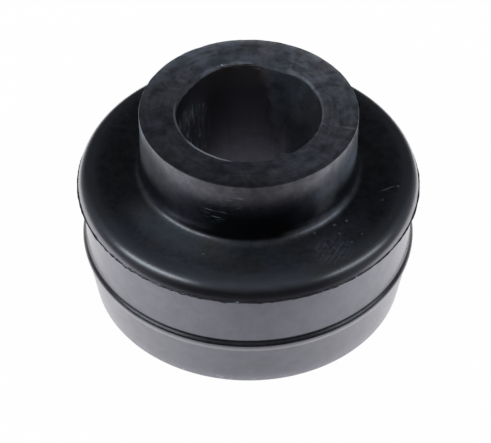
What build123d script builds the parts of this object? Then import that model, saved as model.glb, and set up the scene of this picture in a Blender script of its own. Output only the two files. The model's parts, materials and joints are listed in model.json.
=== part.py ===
from build123d import *
from math import cos, radians, sin, tan
import os

# Control arm bushing: one body of moulded rubber, turned about the bore.
# The origin is the centre of the face it stands on, and +Z runs up the bore
# to the end of the neck. All sizes are in millimetres, angles in degrees.

# Heights, stacked from the standing face up
lower_band_height = 12.2     # skin that tapers out from the base to the ridge's crest
ridge_slope_height = 0.8     # slope from the crest in to the upper band
upper_band_height = 11.3     # straight skin, up to the parting line of the mould
shoulder_height = 3.7        # parting line to the flange's top
neck_height = 13.8           # spigot that enters the arm's eye

# Diameters
bore_diameter = 27.0         # through hole for the inner sleeve
neck_diameter = 40.6
lip_diameter = 64.5          # where the shoulder runs out at the parting line
upper_band_diameter = 62.2
base_diameter = 59.2         # where the taper would meet the standing face

# The shoulder: a crown round beside the flange, a wider round down the side, and a
# straight lip under them
shoulder_crown_round = 3.1
shoulder_turn = 47.0         # lean of the skin where the two rounds meet
shoulder_draft = 9.5         # lean of the lip
lip_height = 0.8

# The ridge between the two bands, and the fin of flash on the parting line
ridge_rise = 0.65            # crest beyond the upper band
ridge_crest_height = 0.6     # straight stretch of the crest
ridge_flank_height = 1.1     # undercut from the crest in to the lower band
ridge_flank_drop = 0.45
flash_reach = 0.25           # fin beyond the lip
flash_thickness = 0.15

# Rounded edges
base_edge_round = 1.0
ridge_round = 0.9
neck_foot_reach = 1.9        # the neck flares out on to the flange this far,
neck_foot_height = 2.7       # from this height above it
neck_rim_round = 0.15

# Levels and radii that follow from the sizes above
crest_foot_level = lower_band_height - ridge_crest_height
flank_foot_level = crest_foot_level - ridge_flank_height
band_level = lower_band_height + ridge_slope_height
parting_level = band_level + upper_band_height
flange_level = parting_level + shoulder_height
top_level = flange_level + neck_height

bore_radius = bore_diameter / 2
neck_radius = neck_diameter / 2
band_radius = upper_band_diameter / 2
ridge_radius = band_radius + ridge_rise
lip_radius = lip_diameter / 2
flash_radius = lip_radius + flash_reach


def corner(section, radius, level):
    """The corner of the half section that lies at this radius and level."""
    return section.vertices().sort_by_distance((radius, level))[0]


def rounded(section, rounds):
    """The half section with its corners at (radius, level) rounded to these sizes."""
    for radius, level, size in rounds:
        section = fillet(corner(section, radius, level), size)
    return section


def lower_half():
    """Half section of what the lower mould forms: two bands and the ridge between them."""
    section = make_face(Polyline(
        (bore_radius, 0),
        (base_diameter / 2, 0),
        (ridge_radius - ridge_flank_drop, flank_foot_level),
        (ridge_radius, crest_foot_level),
        (ridge_radius, lower_band_height),
        (band_radius, band_level),
        (band_radius, parting_level),
        (bore_radius, parting_level),
        close=True,
    ))
    return rounded(section, (
        (base_diameter / 2, 0, base_edge_round),
        (ridge_radius, lower_band_height, ridge_round),
        (band_radius, band_level, ridge_round),
    ))


def upper_half():
    """Half section of what the upper mould forms: shoulder, flange and neck."""
    turn, draft = radians(shoulder_turn), radians(shoulder_draft)
    lip_top = parting_level + lip_height
    crown_drop = shoulder_crown_round * (1 - sin(turn))
    side_round = (flange_level - crown_drop - lip_top) / (sin(turn) - sin(draft))
    lip_top_radius = lip_radius - lip_height * tan(draft)
    side_middle = (lip_top_radius - side_round * cos(draft), lip_top - side_round * sin(draft))
    flat_radius = side_middle[0] + (side_round - shoulder_crown_round) * cos(turn)
    crown_middle = (flat_radius, flange_level - shoulder_crown_round)

    crown = CenterArc(crown_middle, shoulder_crown_round, shoulder_turn, 90 - shoulder_turn)
    side = CenterArc(side_middle, side_round, shoulder_draft, shoulder_turn - shoulder_draft)
    inner = Polyline(
        (lip_top_radius, lip_top),
        (lip_radius, parting_level),
        (bore_radius, parting_level),
        (bore_radius, top_level),
        (neck_radius, top_level),
        (neck_radius, flange_level + neck_foot_height),
    )
    foot_middle = (neck_radius + neck_foot_reach, flange_level + neck_foot_height)
    foot = EllipticalCenterArc(foot_middle, neck_foot_reach, neck_foot_height, 180, arc_size=90)
    flat = Line((neck_radius + neck_foot_reach, flange_level), (flat_radius, flange_level))
    section = make_face(crown + side + inner + foot + flat)
    return rounded(section, ((neck_radius, top_level, neck_rim_round),))


def flash():
    """Half section of the thin fin that the mould's parting line leaves round the lip."""
    width = flash_radius - neck_radius
    middle = (neck_radius + width / 2, parting_level + flash_thickness / 2)
    return Pos(*middle) * Rectangle(width, flash_thickness)


def rubber_bushing():
    """The whole bushing, its half section turned once round the bore."""
    half_section = lower_half() + upper_half() + flash()
    return revolve(Plane.XZ * half_section, Axis.Z)


os.makedirs("parts", exist_ok=True)
export_step(rubber_bushing(), "parts/rubber_bushing.step")
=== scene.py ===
import json
import math

import bpy
from mathutils import Matrix, Vector, noise


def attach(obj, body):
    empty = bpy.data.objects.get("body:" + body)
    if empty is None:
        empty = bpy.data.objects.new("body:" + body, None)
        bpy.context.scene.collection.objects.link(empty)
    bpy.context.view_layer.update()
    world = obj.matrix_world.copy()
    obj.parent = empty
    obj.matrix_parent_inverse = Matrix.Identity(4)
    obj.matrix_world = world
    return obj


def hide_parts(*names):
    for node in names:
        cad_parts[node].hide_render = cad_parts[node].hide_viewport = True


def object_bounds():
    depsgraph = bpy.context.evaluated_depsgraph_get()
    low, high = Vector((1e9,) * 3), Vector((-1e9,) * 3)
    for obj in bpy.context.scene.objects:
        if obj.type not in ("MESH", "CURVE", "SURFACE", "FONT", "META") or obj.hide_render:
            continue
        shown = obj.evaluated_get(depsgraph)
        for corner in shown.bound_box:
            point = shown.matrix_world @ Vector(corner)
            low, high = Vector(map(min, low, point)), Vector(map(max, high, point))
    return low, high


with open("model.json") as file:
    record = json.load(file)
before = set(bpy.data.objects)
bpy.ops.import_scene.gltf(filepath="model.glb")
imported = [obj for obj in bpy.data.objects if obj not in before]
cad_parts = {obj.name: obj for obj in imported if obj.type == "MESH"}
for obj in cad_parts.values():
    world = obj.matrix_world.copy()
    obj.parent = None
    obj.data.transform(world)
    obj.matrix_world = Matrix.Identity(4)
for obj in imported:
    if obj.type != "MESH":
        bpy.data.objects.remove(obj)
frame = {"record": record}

# Control arm bushing: the finish of its one moulded rubber body, on a white table
# between two softboxes. The bushing's own sizes are in millimetres, as a mould
# maker would give them; everything that reaches Blender is in metres. Azimuths are
# in degrees, anticlockwise from the right as seen from above: the front is at -90.

MM = 0.001

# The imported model's box, and the interfaces that the record measures
cad_low, cad_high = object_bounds()
mounts = {mount["name"]: mount for mount in frame["record"]["mounts"]}
flash_radius = cad_high.x / MM
top_level = cad_high.z / MM
bore_radius = mounts["sleeve_bore"]["dims"]["r_mm"]
neck_radius = mounts["eye_spigot"]["dims"]["r_mm"]
flange_level = mounts["flange_face"]["pos_m"][2] / MM

# Steps in the outer skin, in millimetres
shoulder_height = 3.7        # parting line to the flange's top
shoulder_crown_round = 3.1   # beside the flange, tighter than down the side
shoulder_turn = math.radians(47)    # lean of the skin where the two rounds meet
shoulder_draft = math.radians(9.5)  # lean of the lip under them
lip_height = 0.8
flash_reach = 0.25           # how far the fin of flash stands out of the lip
flash_thickness = 0.15
band_inset = 1.4             # from the flash in to the upper band's skin
ridge_rise = 0.65
ridge_slope_height = 0.8
lower_band_height = 12.2
ridge_crest_height = 0.6
ridge_flank_height = 1.1
ridge_flank_drop = 0.45
base_radius = 29.6

# Rounded edges, in millimetres
mouth_round = 0.35
neck_rim_round = 0.15
neck_foot_reach = 1.9
neck_foot_height = 2.7
ridge_round = 0.9
base_edge_round = 1.0
bore_foot_round = 0.3

band_radius = flash_radius - band_inset
ridge_radius = band_radius + ridge_rise
parting_level = flange_level - shoulder_height
fin_level = parting_level + flash_thickness
band_level = lower_band_height + ridge_slope_height
crest_foot_level = lower_band_height - ridge_crest_height

# Flaws of moulding and trimming, in millimetres
face_sink = 0.12             # the neck's cut end lies this far under its burrs
seam_height = 0.11           # of the two seams across the cut end
shelf_depth = 0.75           # torn shelf in the bore's mouth, this far under the end
shelf_reach = 1.15           # how far it stands into the bore
tab_reach = 1.7              # the same for the torn tab at the front of the mouth
streak_depth = 0.22          # streaks torn down the bore's wall
flash_droop = 0.55

# Where they are, in degrees
seam_azimuths = (192.5, 346.5)
shelf_stretches = ((148, 42), (68, 24))   # the middle and half the width of each
tab_azimuth = 297
streaks_azimuth = 178
ragged_burr_azimuth = 262
droop_azimuth = 255

# The bore's mouth is cut finely this far in, down the wall and over the end
mouth_depth = 3.0
mouth_width = 1.5
section_start = 6.0          # level on the bore's wall where the half section closes

# How finely the skin is cut
segments = 470               # to a turn
arc_step = math.radians(11)
neck_foot_steps = 12
edge_gap = 0.08              # a ring this close beside each rounding keeps the flats flat


# ---------------------------------------------------------------- half section

def straight(start, end, spacing):
    """Points from start up to, but not including, end, about this far apart."""
    length = math.dist(start, end)
    steps = max(1, math.ceil(length / spacing))
    return [
        tuple(a + (b - a) * step / steps for a, b in zip(start, end))
        for step in range(steps)
    ]


def arc(centre, radius, first, last):
    """Points on an arc of the half section, between two angles in radians."""
    steps = max(3, math.ceil(abs(last - first) / arc_step))
    angles = [first + (last - first) * step / steps for step in range(steps + 1)]
    return [
        (centre[0] + radius * math.cos(angle), centre[1] + radius * math.sin(angle))
        for angle in angles
    ]


def turn(before, corner, after, rounding):
    """The arc that rounds a corner between its two neighbours."""
    inward = [Vector(before) - Vector(corner), Vector(after) - Vector(corner)]
    inward = [side.normalized() for side in inward]
    half_angle = inward[0].angle(inward[1]) / 2
    bisector = (inward[0] + inward[1]).normalized()
    centre = Vector(corner) + bisector * (rounding / math.sin(half_angle))
    reach = rounding / math.tan(half_angle)
    ends = [Vector(corner) + side * reach - centre for side in inward]
    first, last = (math.atan2(end.y, end.x) for end in ends)
    if last - first > math.pi:
        last -= 2 * math.pi
    if first - last > math.pi:
        last += 2 * math.pi
    return arc(centre, rounding, first, last)


def rounded_path(corners):
    """Points along a path of (radius, level, rounding, spacing), spacing being the
    one to keep on the run after that corner."""
    bends = []
    for index, (radius, level, rounding, spacing) in enumerate(corners):
        inner = 0 < index < len(corners) - 1
        if inner and rounding:
            before = corners[index - 1][:2]
            after = corners[index + 1][:2]
            bends.append((turn(before, (radius, level), after, rounding), spacing))
        else:
            bends.append(([(radius, level)], spacing))
    points = []
    for (bend, spacing), (next_bend, _) in zip(bends, bends[1:] + [([None], 0)]):
        points += bend
        start, end = bend[-1], next_bend[0]
        if end is None or math.dist(start, end) < 4 * edge_gap:
            continue
        along = (Vector(end) - Vector(start)).normalized() * edge_gap
        inside = (tuple(Vector(start) + along), tuple(Vector(end) - along))
        points += straight(*inside, spacing) + [inside[1]]
    return points


def shoulder():
    """The flange's shoulder: a crown round, then a wider one down to the lip."""
    lip_radius = flash_radius - flash_reach
    lip_top = parting_level + lip_height
    crown_drop = shoulder_crown_round * (1 - math.sin(shoulder_turn))
    side_height = flange_level - crown_drop - lip_top
    side_round = side_height / (math.sin(shoulder_turn) - math.sin(shoulder_draft))
    lip_top_radius = lip_radius - lip_height * math.tan(shoulder_draft)
    side_middle = (
        lip_top_radius - side_round * math.cos(shoulder_draft),
        lip_top - side_round * math.sin(shoulder_draft))
    flat_radius = side_middle[0] + (side_round - shoulder_crown_round) * math.cos(shoulder_turn)
    crown_middle = (flat_radius, flange_level - shoulder_crown_round)
    crown = arc(crown_middle, shoulder_crown_round, math.pi / 2, shoulder_turn)
    return crown[:-1] + arc(side_middle, side_round, shoulder_turn, shoulder_draft)


def neck_foot():
    """Points down the quarter ellipse in which the neck flares out on to the flange."""
    steps = neck_foot_steps
    angles = [math.pi / 2 * step / steps for step in range(1, steps)]
    return [
        (neck_radius + neck_foot_reach * (1 - math.cos(angle)),
         flange_level + neck_foot_height * (1 - math.sin(angle)))
        for angle in angles
    ]


def half_section():
    """The bushing's closed half section, up the bore, down the skin and round to the
    bore again, as corners of (radius, level, rounding, spacing)."""
    shoulder_curve = shoulder()
    neck = rounded_path([
        (bore_radius, section_start, 0, 1.6),
        (bore_radius, top_level - mouth_depth, 0, 0.25),
        (bore_radius, top_level, mouth_round, 0.3),
        (bore_radius + mouth_width, top_level, 0, 0.6),
        (neck_radius, top_level, neck_rim_round, 4.0),
        (neck_radius, flange_level + neck_foot_height, 0, 0.6),
    ])
    flange = rounded_path([
        (neck_radius + neck_foot_reach, flange_level, 0, 2.0),
        (*shoulder_curve[0], 0, 0.6),
    ])
    lip_foot = flash_radius - flash_reach - flash_thickness * math.tan(shoulder_draft)
    lower = rounded_path([
        (*shoulder_curve[-1], 0, 0.2),
        (lip_foot, fin_level, 0, 0.1),
        (flash_radius, fin_level, flash_thickness / 3, 0.1),
        (flash_radius, parting_level, flash_thickness / 3, 0.3),
        (band_radius, parting_level, 0.2, 4.0),
        (band_radius, band_level, ridge_round, 0.3),
        (ridge_radius, lower_band_height, ridge_round, 0.3),
        (ridge_radius, crest_foot_level, ridge_round, 0.3),
        (ridge_radius - ridge_flank_drop, crest_foot_level - ridge_flank_height, 0.6, 1.2),
        (base_radius, 0, base_edge_round, 3.5),
        (bore_radius, 0, bore_foot_round, 1.4),
        (bore_radius, section_start, 0, 1.4),
    ])
    return neck + neck_foot() + flange + shoulder_curve[1:-1] + lower[:-1]


# ------------------------------------------------------------ moulding flaws

def bump(value, middle, half_width):
    """1 at the middle, smoothly down to 0 at half_width away."""
    share = min(1.0, abs(value - middle) / half_width)
    return 1 - share * share * (3 - 2 * share)


def turned_from(azimuth, middle):
    """Signed angle from middle to azimuth, in degrees, between -180 and 180."""
    return (azimuth - middle + 180) % 360 - 180


def ripple(azimuth, level, waves, seed):
    """Noise that runs round the bushing with this many waves to the turn."""
    angle = math.radians(azimuth)
    reach = waves / (2 * math.pi)
    return noise.noise(Vector((reach * math.cos(angle), reach * math.sin(angle), level + seed)))


def around(azimuth, middle, half_width):
    """1 at the middle azimuth, smoothly down to 0 at half_width to either side."""
    return bump(turned_from(azimuth, middle), 0, half_width)


def fading(distance, reach):
    """1 at no distance, fading away smoothly over about this reach to either side."""
    return math.exp(-(distance / reach) ** 2)


def torn_mouth(radius, level, azimuth):
    """The bore's mouth: a shelf of torn skin at the back, and a tab of it at the front."""
    depth = top_level - level
    from_bore = radius - bore_radius
    jagged = ripple(azimuth, 0, 60, 3.0) + 0.6 * ripple(azimuth, 0, 150, 9.0)
    shelf = 0.6 * sum(around(azimuth, *stretch) for stretch in shelf_stretches)
    tab = around(azimuth, tab_azimuth, 8)
    frayed = 0.10 + 0.25 * around(azimuth, 120, 50)
    inward = shelf_reach * shelf * (1 + 0.5 * jagged) * fading(depth - shelf_depth, 0.45)
    inward += tab_reach * tab * (1 + 0.3 * jagged) * fading(depth, 1.0)
    inward -= frayed * jagged * fading(depth, 0.8)
    beside = fading(from_bore, 1.0)
    groove = fading(from_bore - 0.35, 0.2)
    sunk = groove * (0.15 * shelf + 0.05) + 0.25 * tab * beside
    return radius - beside * inward, level - sunk * fading(depth, 0.4)


def streaked_wall(radius, level, azimuth):
    """The bore's wall, torn in streaks along the draw on its left side."""
    torn = around(azimuth, streaks_azimuth, 45)
    draw = ripple(azimuth, level * 0.12, 90, 5.0) + 0.5 * ripple(azimuth, level * 0.4, 200, 6.0)
    midway = top_level / 2
    return radius + (0.03 + streak_depth * torn) * draw * bump(level, midway, midway)


def trimmed_end(radius, level, azimuth):
    """The neck's cut end: a little low, with a burr round its rim and a seam each side."""
    beside_rim = fading(neck_radius - radius, 0.45)
    uneven = ripple(azimuth, 0, 34, 12.0) + 0.6 * ripple(azimuth, 0, 110, 13.0)
    front = around(azimuth, ragged_burr_azimuth, 50)
    burr = beside_rim * (face_sink + (0.06 + 0.10 * front) * uneven - 0.06 * front)
    burr += 0.1 * fading(radius - bore_radius - 0.3, 0.25) * around(azimuth, 234, 24)
    for seam in seam_azimuths:
        burr += seam_height * around(azimuth, seam, 1.2)
    outward = beside_rim * (0.02 + (0.08 + 0.04 * front) * uneven)
    return radius + outward, level - face_sink + min(burr, face_sink)


def frayed_flash(radius, level, azimuth):
    """The fin of flash: frayed, drooping at the front and short at the back."""
    ragged = ripple(azimuth, 0, 70, 21.0) + 0.6 * ripple(azimuth, 0, 210, 22.0)
    frayed = 0.10 + 0.16 * around(azimuth, 260, 80)
    outward = frayed * ragged - 0.08 - 0.2 * around(azimuth, 90, 95)
    hanging = max(0.0, ripple(azimuth, 0, 230, 31.0)) * around(azimuth, droop_azimuth, 80)
    return radius + outward, level - flash_droop * hanging


def flawed(radius, level, azimuth):
    """A point of the section after the flaws of moulding and trimming, in millimetres."""
    depth = top_level - level
    if radius < bore_radius + 0.1 and level > 0.5:
        radius = streaked_wall(radius, level, azimuth)
    if depth < mouth_depth and radius < bore_radius + 2 * mouth_width:
        radius, level = torn_mouth(radius, level, azimuth)
    if depth < 0.4:
        radius, level = trimmed_end(radius, level, azimuth)
    if radius > flash_radius - 0.1 and abs(level - parting_level) < 0.3:
        radius, level = frayed_flash(radius, level, azimuth)
    return min(radius, flash_radius), min(max(level, 0.0), top_level)


def bushing_mesh(section):
    """The half section turned round the bore, each ring with its own flaws."""
    points = []
    for radius, level in section:
        for segment in range(segments):
            azimuth = 360 * segment / segments
            r, z = flawed(radius, level, azimuth)
            x = r * math.cos(math.radians(azimuth))
            y = r * math.sin(math.radians(azimuth))
            points.append((x * MM, y * MM, z * MM))
    faces = []
    rings = len(section)
    for ring in range(rings):
        here, there = ring * segments, (ring + 1) % rings * segments
        for segment in range(segments):
            beside = (segment + 1) % segments
            faces.append((here + segment, there + segment, there + beside, here + beside))
    mesh = bpy.data.meshes.new("moulded_bushing")
    mesh.from_pydata(points, [], faces)
    mesh.shade_smooth()
    mesh.validate()
    return mesh


# ---------------------------------------------------------------- shader maths

class Field:
    """A number that changes over a surface. Arithmetic on it adds Math nodes."""

    def __init__(self, tree, socket):
        self.tree = tree
        self.socket = socket

    def maths(self, operation, *values):
        """The result of a Math node on these values."""
        sockets = dict(enumerate(values))
        return self.tree.node("ShaderNodeMath", {"operation": operation}, sockets)

    def __add__(self, other):
        return self.maths("ADD", self, other)

    def __radd__(self, other):
        return self.maths("ADD", other, self)

    def __sub__(self, other):
        return self.maths("SUBTRACT", self, other)

    def __rsub__(self, other):
        return self.maths("SUBTRACT", other, self)

    def __mul__(self, other):
        return self.maths("MULTIPLY", self, other)

    def __rmul__(self, other):
        return self.maths("MULTIPLY", other, self)

    def __truediv__(self, other):
        return self.maths("DIVIDE", self, other)

    def __pow__(self, other):
        return self.maths("POWER", self, other)

    def rise(self, start, end):
        """0 up to start, smoothly up to 1 at end."""
        settings = {"interpolation_type": "SMOOTHSTEP"}
        sockets = {"Value": self, "From Min": start, "From Max": end}
        return self.tree.node("ShaderNodeMapRange", settings, sockets)

    def fall(self, start, end):
        """1 up to start, smoothly down to 0 at end."""
        return 1 - self.rise(start, end)


class Tree:
    """The node tree of a material or of the world, emptied and ready to be built."""

    def __init__(self, owner):
        owner.use_nodes = True
        self.tree = owner.node_tree
        self.tree.nodes.clear()

    def node(self, kind, settings=None, sockets=None, output=0):
        """A new node, its settings set first and then its sockets, as one output."""
        made = self.tree.nodes.new(kind)
        for name, value in (settings or {}).items():
            setattr(made, name, value)
        for name, value in (sockets or {}).items():
            if isinstance(value, Field):
                self.tree.links.new(value.socket, made.inputs[name])
            else:
                made.inputs[name].default_value = value
        if not made.outputs:
            return made
        return Field(self, made.outputs[output])

    def place(self):
        """Where a point of the surface is, in millimetres."""
        metres = self.node("ShaderNodeTexCoord", output="Object")
        return self.scaled(metres, (1 / MM, 1 / MM, 1 / MM))

    def scaled(self, vector, factors):
        """A vector stretched along each axis."""
        settings = {"operation": "MULTIPLY"}
        return self.node("ShaderNodeVectorMath", settings, {0: vector, 1: factors})

    def axis(self, vector, name):
        """One of a vector's three numbers."""
        return self.node("ShaderNodeSeparateXYZ", None, {"Vector": vector}, output=name)

    def vector(self, x, y, z):
        """A vector made of three numbers."""
        return self.node("ShaderNodeCombineXYZ", None, {"X": x, "Y": y, "Z": z})

    def tinted(self, tone, tint):
        """A colour from a grey tone."""
        settings = {"operation": "SCALE"}
        return self.node("ShaderNodeVectorMath", settings, {0: tint, "Scale": tone})

    def grain(self, vector, scale, detail=2.0, roughness=0.5, distortion=0.0):
        """Cloudy noise round 0.5, with this many cells to the vector's unit."""
        sockets = {"Vector": vector, "Scale": scale, "Detail": detail,
                   "Roughness": roughness, "Distortion": distortion}
        return self.node("ShaderNodeTexNoise", None, sockets)

    def crumbs(self, vector, spacing, size, share):
        """1 on small crumbs, in this share of cells that are about this far apart."""
        sockets = {"Vector": vector, "Scale": 1 / spacing}
        cells = self.node("ShaderNodeTexVoronoi", {"feature": "F1"}, sockets)
        tints = self.node("ShaderNodeTexVoronoi", {"feature": "F1"}, sockets, output="Color")
        chosen = self.axis(tints, "X").fall(share - 0.01, share)
        return cells.fall(0.4 * size / spacing, size / spacing) * chosen

    def blended(self, share, first, second):
        """One colour going over into another."""
        settings = {"data_type": "RGBA"}
        return self.node("ShaderNodeMix", settings, {0: share, 6: first, 7: second}, output=2)

    def spot(self, place, middle, reach):
        """1 at the middle of a small spot, 0 from this reach on."""
        settings = {"operation": "DISTANCE"}
        sockets = {0: place, 1: middle}
        distance = self.node("ShaderNodeVectorMath", settings, sockets, output="Value")
        return distance.fall(0.3 * reach, reach)


def on_flange(azimuth, radius):
    """A place on the flange's top, from an azimuth in degrees and a radius."""
    bearing = math.radians(azimuth)
    return (radius * math.cos(bearing), radius * math.sin(bearing), flange_level)


class BushingPlaces:
    """Where things are on the bushing, as fields that its looks are made of."""

    def __init__(self, tree):
        self.tree = tree
        self.place = tree.place()
        self.x = tree.axis(self.place, "X")
        self.y = tree.axis(self.place, "Y")
        self.level = tree.axis(self.place, "Z")
        self.depth = top_level - self.level
        self.up_neck = self.level - flange_level
        self.radius = (self.x * self.x + self.y * self.y) ** 0.5
        normal = tree.node("ShaderNodeNewGeometry", output="Normal")
        self.facing_up = tree.axis(normal, "Z").rise(0.4, 0.8)
        self.cut_end = self.facing_up * self.depth.fall(1.4, 1.8)
        upright = 1 - self.facing_up
        self.bore = upright * self.radius.fall(bore_radius + 0.7, bore_radius + 1.1)
        self.neck_wall = (upright * self.radius.rise(neck_radius - 1.3, neck_radius - 0.8)
                          * self.up_neck.rise(0.3, 1))
        self.flange = self.facing_up * self.up_neck.fall(0.5, 1)

    def towards(self, azimuth, half_width):
        """1 in this direction from the bore's axis, in degrees, 0 half_width to its side."""
        bearing = math.radians(azimuth)
        along = (self.x * math.cos(bearing) + self.y * math.sin(bearing)) / self.radius
        return along.rise(math.cos(math.radians(half_width)), 1)

    def ring(self, radius, half_width):
        """1 at this radius, 0 half_width in or out from it."""
        off = (self.radius - radius) * (self.radius - radius)
        return off.fall(0, half_width ** 2)

    def turned_grain(self, to_turn, across, along, detail=3.0):
        """Grain that is drawn out round the bore: cells to a turn, to a millimetre of
        radius, and to a millimetre of height."""
        reach = to_turn / (2 * math.pi)
        vector = self.tree.vector(
            self.x / self.radius * reach, self.y / self.radius * reach,
            self.radius * across + self.level * along)
        return self.tree.grain(vector, 1.0, detail, 0.6)


def scuff_marks(at):
    """0 to 1 over the cut end: scuffed round the bore by the trimming, and smudged."""
    patchy = at.tree.grain(at.place, 0.22, 2.0).rise(0.35, 0.6)
    fine = at.turned_grain(14, 1.5, 0, 5.0).rise(0.3, 0.7)
    wide = at.tree.grain(at.place, 0.45, 5.0, 0.7, 0.6).rise(0.32, 0.68)
    return 0.5 * fine * (0.3 + 0.7 * patchy) + 0.6 * wide


def cut_tone(at, scuffs, mottle):
    """The neck's cut end: matte and scuffed round the bore, with painted light that makes it
    palest at the back.
    """
    # Painted light: paler toward the back and the right, darker round the front of the rim and
    # paler round the back of it.
    tone = 0.017 + 0.042 * at.y.rise(-4, 17) + 0.022 * at.x.rise(-2, 16)
    tone = tone * (0.3 + 0.35 * mottle.rise(0.3, 0.7) + 1.25 * scuffs)
    rim = at.radius.rise(neck_radius - 2, neck_radius - 0.5)
    tone = tone * (1 - 0.5 * rim * at.towards(-90, 80)) + 0.035 * rim * at.towards(100, 75)
    return tone


def painted_mouth_highlights_and_worn_rim(at, mottle):
    """Painted highlights along the rounded edge of the bore's mouth, and a rubbed pale line
    round the back of the neck's rim.
    """
    broken = mottle.rise(0.3, 0.6)
    edge = at.depth.fall(0.4, 0.7)
    # Painted highlights: thin pale lines round the mouth's edge, standing in for its rounding
    # mirroring the lamps.
    front_left = at.ring(bore_radius + 0.25, 0.38) * at.towards(236, 26) * 0.22
    left = at.ring(bore_radius + 0.25, 0.3) * at.towards(192, 26) * 0.07
    right = at.ring(bore_radius + 0.2, 0.35) * at.towards(2, 50) * 0.04
    back_right = at.ring(bore_radius + 0.3, 0.45) * at.towards(40, 24) * 0.09 * broken
    back_left = at.ring(bore_radius + 0.1, 0.6) * at.towards(108, 30) * 0.06 * broken
    back_rim = at.ring(neck_radius - 0.25, 0.5) * at.towards(90, 100) * 0.05 * broken
    return edge * (front_left + left + right + back_right + back_left + back_rim)


def bore_tone(at, mottle):
    """The bore's wall, darker down the middle; its paler sides and the band under the back of
    the mouth are painted light, with streaks and flecks down the left side.
    """
    streaks = at.turned_grain(110, 0, 0.12, 4.0)
    flecks = at.turned_grain(240, 0, 0.35, 3.0).rise(0.56, 0.7)
    # Painted light: the left wall lit by the right lamp, the right wall's mirrored light, and
    # light on the back wall under the mouth.
    left = at.x.fall(-10, -7) * at.depth.rise(3.8, 8.8)
    patches = at.tree.grain(at.place, 0.35, 3.0, 0.6)
    right = (at.x + 0.25 * (at.level - 30) + 6 * (patches - 0.5)).rise(3, 6.5)
    left_tone = left * (0.024 + 0.07 * streaks.rise(0.42, 0.72) + 0.28 * flecks)
    right_tone = right * (0.014 + 0.026 * patches.rise(0.3, 0.65))
    under_mouth = at.depth.fall(1.8, 7.8) * at.y.rise(2, 8) * 0.007
    return (0.0025 + left_tone + right_tone + under_mouth) * (0.4 + 1.2 * mottle)


def pale_flange_and_painted_neck_light(at, cloud, mottle):
    """The flange, paler to the front, front left and toward its edge, and painted light on the
    neck: a painted sheen down its sides and painted highlights at its rim and foot.
    """
    uneven = 0.1 + 0.6 * cloud + 1.2 * mottle
    front_left = at.towards(-125, 36) * at.radius.fall(22.5, 28) * 0.042
    front = at.towards(-97, 75) * 0.019
    edge = at.radius.rise(27, 30) * 0.016
    flange = at.flange * (front_left + front + edge + 0.002)

    # Painted sheen: the neck's sides are lightened where they turn edge-on to the front and
    # higher up, standing in for the light they mirror at a grazing angle.
    off_axis = at.x / at.radius
    sides = (off_axis * off_axis).rise(0.12, 0.75)
    edge_on = (off_axis * off_axis).rise(0.7, 0.97)
    height = at.up_neck.rise(3.5, 8) * (1 - 0.45 * at.up_neck.rise(10, 12.5))
    front_right_stripe = at.towards(-45, 10) * at.up_neck.rise(2, 3.5) * at.up_neck.fall(7, 10)
    # Painted highlight high on the neck's left side, by its rim.
    left_rim = at.towards(188, 16) * at.up_neck.rise(10.5, 12.5)
    neck = height * (0.075 * sides + 0.07 * edge_on) + 0.04 * front_right_stripe + 0.25 * left_rim

    # Painted highlight in the neck's foot, to the front right.
    foot = at.up_neck.rise(0.1, 0.5) * at.up_neck.fall(0.7, 2)
    foot = foot * at.radius.rise(neck_radius, neck_radius + 0.3)
    foot = foot * at.radius.fall(neck_radius + 1.2, neck_radius + 2.2)
    foot = foot * 0.06 * at.towards(-50, 26)
    return (flange + at.neck_wall * neck + foot) * uneven


def rubbed_tone(at):
    """Small pale chips, along the parting line and round the bottom edge."""
    chips = at.turned_grain(150, 0, 1.2, 4.0).rise(0.56, 0.7)
    parting = at.level.fall(parting_level + 0.2, parting_level + 0.35)
    parting = parting * at.radius.rise(flash_radius - 0.8, flash_radius - 0.4)
    parting = parting * at.towards(-100, 75)
    bottom = at.level.rise(0.3, 0.9) * at.level.fall(1.2, 2.4)
    bottom = bottom * at.radius.rise(base_radius - 1.6, base_radius - 0.6)
    bottom = bottom * at.towards(-90, 85)
    return chips * (0.6 * parting + 0.2 * bottom)


def scratch(at, start, end, half_width):
    """1 along a straight scratch across the flange, fading out at its ends."""
    middle = [(a + b) / 2 for a, b in zip(start, end)]
    half_length = math.dist(start, end) / 2
    along = [(b - a) / 2 / half_length for a, b in zip(start, end)]
    x, y = at.x - middle[0], at.y - middle[1]
    lengthwise = (x * along[0] + y * along[1]) / half_length
    sideways = (x * along[1] - y * along[0]) / half_width
    off = lengthwise * lengthwise + sideways * sideways
    return at.flange * off.fall(0.2, 1)


def hatching(at, mottle):
    """A patch of crossed wipe marks on the flange's right front."""
    middle = on_flange(-56, 27)
    patch = at.tree.spot(at.place, middle, 4.6)
    slanted = at.x.maths("SINE", (at.x * 0.8 + at.y * 0.6) * 9)
    crossed = at.x.maths("SINE", (at.x * 0.9 - at.y * 0.44) * 7)
    lines = slanted.rise(0.2, 1) + crossed.rise(0.3, 1)
    return patch * lines * mottle.rise(0.38, 0.6) * 0.04


def flange_dust(at, mottle):
    """Specks, a scratch and wipe marks in the bloom on the flange."""
    tree = at.tree
    scratch_ends = (24.3, -7.0), (27.6, -5.2)
    tone = hatching(at, mottle) + 0.05 * scratch(at, *scratch_ends, half_width=0.22)
    speck_reach = 0.36
    specks = (               # azimuth, radius, strength
        (-11, 28.5, 0.08), (-11, 30.7, 0.10), (-18, 30.7, 0.07), (-45, 22.4, 0.09),
        (-47, 24.6, 0.06), (-39, 23.3, 0.10), (-47, 27.7, 0.06), (-48, 30.4, 0.10),
        (-56, 21.7, 0.06), (-109, 24.9, 0.07), (150, 30.5, 0.08), (-20, 26.5, 0.05))
    for azimuth, radius, strength in specks:
        tone = tone + strength * tree.spot(at.place, on_flange(azimuth, radius), speck_reach)
    strays = tree.crumbs(at.place, spacing=1.3, size=0.2, share=0.18)
    return tone + strays * 0.1 * at.flange * at.towards(-30, 45)


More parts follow.
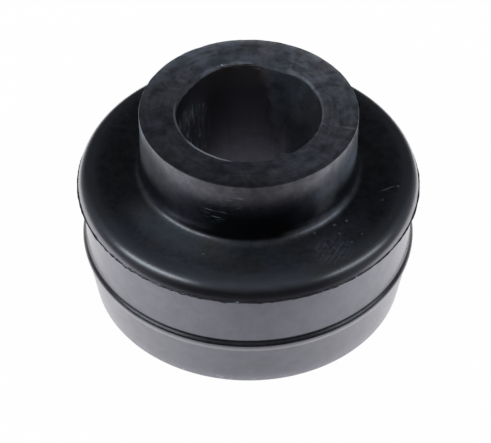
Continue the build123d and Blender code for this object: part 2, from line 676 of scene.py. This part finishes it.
def neck_dust(at, mottle):
    """Crumbs where the seams end and at the back of the cut end, the seams' own pale
    lines, and short dashes on the front of the neck."""
    tree = at.tree
    right_end = tree.spot(at.place, (18.6, -3.3, top_level), 2.6)
    left_end = tree.spot(at.place, (-18.8, -5.0, top_level), 3.0)
    back_speck = tree.spot(at.place, (-5.1, 12.9, top_level), 0.36)
    back_rim = at.ring(neck_radius - 0.3, 0.8) * at.cut_end * at.towards(35, 30)
    crumbs = tree.crumbs(at.place, spacing=0.9, size=0.22, share=0.35)
    close_crumbs = tree.crumbs(at.place, spacing=1.1, size=0.2, share=0.5)
    tone = close_crumbs * 0.4 * right_end + crumbs * (0.2 * left_end + 0.16 * back_rim)

    dashes = at.neck_wall * at.turned_grain(36, 0, 3.2, 3.0).rise(0.55, 0.66)
    upper = tree.spot(at.place, (-2.6, -20.1, 37.8), 3.4)
    lower = tree.spot(at.place, (-6.3, -19.3, 34.6), 3.0)
    tone = tone + 0.3 * back_speck + dashes * (0.12 * upper + 0.1 * lower)

    broken = mottle.rise(0.35, 0.65)
    left_seam, right_seam = (at.towards(seam, 1.0) for seam in seam_azimuths)
    return tone + at.cut_end * broken * (0.02 * left_seam + 0.04 * right_seam)


def dull_share(at, scuffs, mottle):
    """How far the satin skin gives way to dull rubber: 0 satin, 1 dull."""
    uneven_skin = at.tree.grain(at.place, 0.35, 3.0).fall(0.35, 0.6)
    worn = 0.22 * uneven_skin + 0.16 * mottle.fall(0.4, 0.6)
    # Painted shade: the lower front of the neck is turned to dull rubber so that it stays dark.
    painted_shade_neck_front = 0.9 * at.up_neck.fall(5, 9.5) * at.towards(-90, 48)
    neck = at.neck_wall * (painted_shade_neck_front + worn * (1 - at.neck_wall * painted_shade_neck_front))
    bore = 0.5 * at.bore * at.level.rise(10, 28)
    cut_end = at.cut_end * (0.6 - 0.6 * scuffs)
    flat = at.flange * at.radius.fall(28, 29.5)
    flat = flat * (0.22 * mottle.fall(0.36, 0.6) + 0.3 * uneven_skin)
    skirt = at.level.fall(parting_level, parting_level + 0.1)
    skirt = skirt * (0.07 * uneven_skin + 0.04 * mottle.fall(0.4, 0.55))
    crest = (at.level.rise(lower_band_height - 0.3, lower_band_height)
             * at.level.fall(band_level - 0.1, band_level + 0.3))
    return neck + bore + cut_end + flat + skirt + 0.45 * crest * (1 - at.bore)


def rubber_tint(at, cloud):
    """The rubber's hue: cold black, a little warmer down the middle of the bore."""
    cold = at.tree.blended(
        cloud.rise(0.35, 0.65), (0.92, 1.0, 1.08, 1), (0.78, 1.0, 1.3, 1))
    bore_middle = at.bore * at.x.rise(-10, -7) * at.x.fall(1, 5)
    return at.tree.blended(bore_middle, cold, (1.25, 1.02, 0.8, 1))


def moulded_rubber():
    """Black rubber: a satin skin with a faint bloom, dull where the neck was trimmed; painted
    highlights, sheen and shade are worked into it.
    """
    material = bpy.data.materials.new("moulded_rubber")
    tree = Tree(material)
    at = BushingPlaces(tree)
    cloud = tree.grain(at.place, 0.12, 3.0)
    mottle = tree.grain(at.place, 0.9, 4.0, 0.65)
    pores = tree.grain(at.place, 3.0, 3.0, 0.7)
    scuffs = scuff_marks(at)

    tone = 0.0006 + 0.0012 * cloud.rise(0.35, 0.7)
    # Painted light comes in with these tones: highlights round the mouth and on the neck, sheen
    # down the neck's sides, and light on the cut end and in the bore.
    tone = tone + pale_flange_and_painted_neck_light(at, cloud, mottle) + rubbed_tone(at) + painted_mouth_highlights_and_worn_rim(at, mottle)
    tone = tone + at.cut_end * cut_tone(at, scuffs, mottle) + at.bore * bore_tone(at, mottle)
    tone = tone + flange_dust(at, mottle) + neck_dust(at, mottle)

    bore_sides = at.bore * (at.x * at.x).rise(40, 90)
    matte = at.cut_end + bore_sides
    relief = pores * (0.3 + 0.7 * matte) + mottle * matte * 1.5
    normal = tree.node("ShaderNodeBump", None, {
        "Strength": 0.25, "Distance": 0.05 * MM, "Height": relief})
    rubber = {
        "Base Color": tree.tinted(tone, rubber_tint(at, cloud)),
        "Roughness": 0.28 + 0.04 * cloud + 0.03 * mottle + matte * (0.2 + 0.1 * mottle),
        "Normal": normal}

    neck_skin = at.radius.fall(neck_radius + 0.2, neck_radius + 1.5) * (1 - at.bore)
    neck_skin = neck_skin * at.up_neck.fall(7, 10)
    right_side = at.flange * at.radius.fall(24, 29) * at.towards(-35, 45)
    coat = 1 - 0.9 * neck_skin - 0.85 * right_side - at.bore - 0.6 * at.cut_end
    satin = tree.node("ShaderNodeBsdfPrincipled", None, {
        **rubber, "IOR": 2.8, "Specular Tint": (0.79, 0.78, 1, 1),
        "Coat Weight": coat, "Coat Roughness": 0.24, "Coat IOR": 1.85})
    dull = tree.node("ShaderNodeBsdfPrincipled", None, {**rubber, "IOR": 1.2})
    surface = tree.node("ShaderNodeMixShader", None, {
        0: dull_share(at, scuffs, mottle), 1: satin, 2: dull})
    tree.node("ShaderNodeOutputMaterial", None, {"Surface": surface})
    return material


# ------------------------------------------------------------- table and light

def white_table():
    """A white table: plain and pale to the object and even white to the eye, with a
    little of the object's shadow left on it. What the rubber mirrors of it is a pool of
    light round the object, dimmer in front and dark further out."""
    material = bpy.data.materials.new("white_table")
    tree = Tree(material)
    seen = tree.node("ShaderNodeLightPath", output="Is Camera Ray")
    mirrored = tree.node("ShaderNodeLightPath", output="Is Glossy Ray")
    dim_middle = (4, -44)
    dim_spread = 34
    pool_middle = (-4, 18)
    whiteness = 0.98         # what is missing from 1 shows the object's shadow
    place = tree.place()
    x, y = tree.axis(place, "X"), tree.axis(place, "Y")

    def squared_distance(middle):
        """The square of the distance from this place on the table."""
        return (x - middle[0]) * (x - middle[0]) + (y - middle[1]) * (y - middle[1])

    from_axis = squared_distance((0, 0))
    sideways = x * x / (from_axis + 1)
    behind = y.rise(-5, 45)

    at_foot = (from_axis ** 0.5).fall(base_radius + 0.4, base_radius + 1.8)
    dim_front = x.maths("EXPONENT", squared_distance(dim_middle) * (-1 / dim_spread ** 2))
    lit = 1 - 0.4 * dim_front * (1 - at_foot)

    reach = 1 + 0.22 * sideways.rise(0.7, 0.98) + 0.1 * behind
    near = (squared_distance(pool_middle) ** 0.5 / reach).fall(70, 88)
    outer = 0.02 + 0.08 * sideways.rise(0.3, 0.8) + 0.1 * behind
    open_sky = tree.node("ShaderNodeAmbientOcclusion", {"samples": 4}, {"Distance": 0.06},
                         output="AO").rise(0.05, 0.35)
    pool = open_sky * lit * (outer + (1 - outer) * near)

    pale = tree.node("ShaderNodeBsdfDiffuse", None, {"Color": (0.85, 0.85, 0.85, 1)})
    glow = tree.node("ShaderNodeEmission", None, {
        "Color": (1, 1, 1, 1), "Strength": seen + mirrored * pool})
    surface = tree.node("ShaderNodeMixShader", None, {
        0: seen * whiteness + mirrored, 1: pale, 2: glow})
    tree.node("ShaderNodeOutputMaterial", None, {"Surface": surface})
    return material


def table():
    """The table top, just under the standing face."""
    half = 0.9
    drop = 0.02 * MM
    mesh = bpy.data.meshes.new("table_top")
    corners = [(-half, -half), (half, -half), (half, half), (-half, half)]
    mesh.from_pydata([(x, y, -drop) for x, y in corners], [], [(0, 1, 2, 3)])
    mesh.materials.append(white_table())
    top = bpy.data.objects.new("table_top", mesh)
    bpy.context.scene.collection.objects.link(top)


def direction(azimuth, elevation):
    """Unit vector out from the object; azimuth from the right, anticlockwise, in degrees."""
    bearing, climb = math.radians(azimuth), math.radians(elevation)
    return Vector((
        math.cos(bearing) * math.cos(climb), math.sin(bearing) * math.cos(climb),
        math.sin(climb)))


def softbox(name, azimuth, elevation, width, lean, radiance):
    """A long soft lamp that faces the object from this direction, leant over in degrees."""
    height = 0.15
    distance = 0.75
    lamp = bpy.data.lights.new(name, "AREA")
    lamp.shape = "RECTANGLE"
    lamp.size = width
    lamp.size_y = height
    lamp.color = (0.92, 1.0, 0.93)
    lamp.energy = radiance * math.pi * width * height
    holder = bpy.data.objects.new(name, lamp)
    away = direction(azimuth, elevation)
    holder.location = away * distance
    facing = away.to_track_quat("Z", "Y").to_matrix()
    holder.rotation_euler = (facing @ Matrix.Rotation(math.radians(lean), 3, "Z")).to_euler()
    holder.visible_camera = False
    bpy.context.scene.collection.objects.link(holder)


def room():
    """The world: white to the eye, plain to dull surfaces, and to a gloss the dark room,
    paler to each side and above the front."""
    world = bpy.data.worlds.new("studio")
    bpy.context.scene.world = world
    tree = Tree(world)
    seen = tree.node("ShaderNodeLightPath", output="Is Camera Ray")
    mirrored = tree.node("ShaderNodeLightPath", output="Is Glossy Ray")
    sky = tree.node("ShaderNodeTexCoord", output="Generated")
    over_front = tree.node("ShaderNodeVectorMath", {"operation": "DOT_PRODUCT"},
                           {0: sky, 1: direction(-90, 50)}, output="Value")
    across = tree.axis(sky, "X")
    beside = (across * across).rise(0.4, 0.85)
    room_light = 0.7
    studio = 0.006 + 0.03 * over_front.rise(0.75, 1.0) + 0.08 * beside
    hue = tree.blended(mirrored, (1, 1, 1, 1), (0.85, 1, 1, 1))
    background = tree.node("ShaderNodeBackground", None, {
        "Color": hue,
        "Strength": seen + (1 - seen) * (room_light + mirrored * (studio - room_light))})
    tree.node("ShaderNodeOutputWorld", None, {"Surface": background})


def camera():
    """The camera, looking down on the bushing from the front."""
    elevation = math.radians(44.57)
    distance = 0.4622
    aim = Vector((-0.495 * MM, 0, 13.16 * MM))
    roll = math.radians(0.34)
    focal_length_to_width = 2400 / 491
    sensor_width = 36
    lens = bpy.data.cameras.new("camera")
    lens.sensor_width = sensor_width
    lens.lens = focal_length_to_width * sensor_width
    eye = bpy.data.objects.new("camera", lens)
    turned = (Matrix.Rotation(math.pi / 2 - elevation, 4, "X")
              @ Matrix.Rotation(roll, 4, "Z"))
    away = Vector((0, -math.cos(elevation), math.sin(elevation)))
    eye.matrix_world = Matrix.Translation(aim + away * distance) @ turned
    bpy.context.scene.collection.objects.link(eye)
    bpy.context.scene.camera = eye


# ------------------------------------------------------------------- assembly

camera()
room()
table()
softbox("left_softbox", azimuth=209, elevation=28, width=0.55, lean=22, radiance=2.4)
softbox("right_softbox", azimuth=-20, elevation=24, width=0.5, lean=-20, radiance=1.25)

bushing = bpy.data.objects.new("moulded_bushing", bushing_mesh(half_section()))
bushing.data.materials.append(moulded_rubber())
bpy.context.scene.collection.objects.link(bushing)
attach(bushing, "root")
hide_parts("rubber_bushing")

bpy.context.scene.view_settings.view_transform = "Standard"
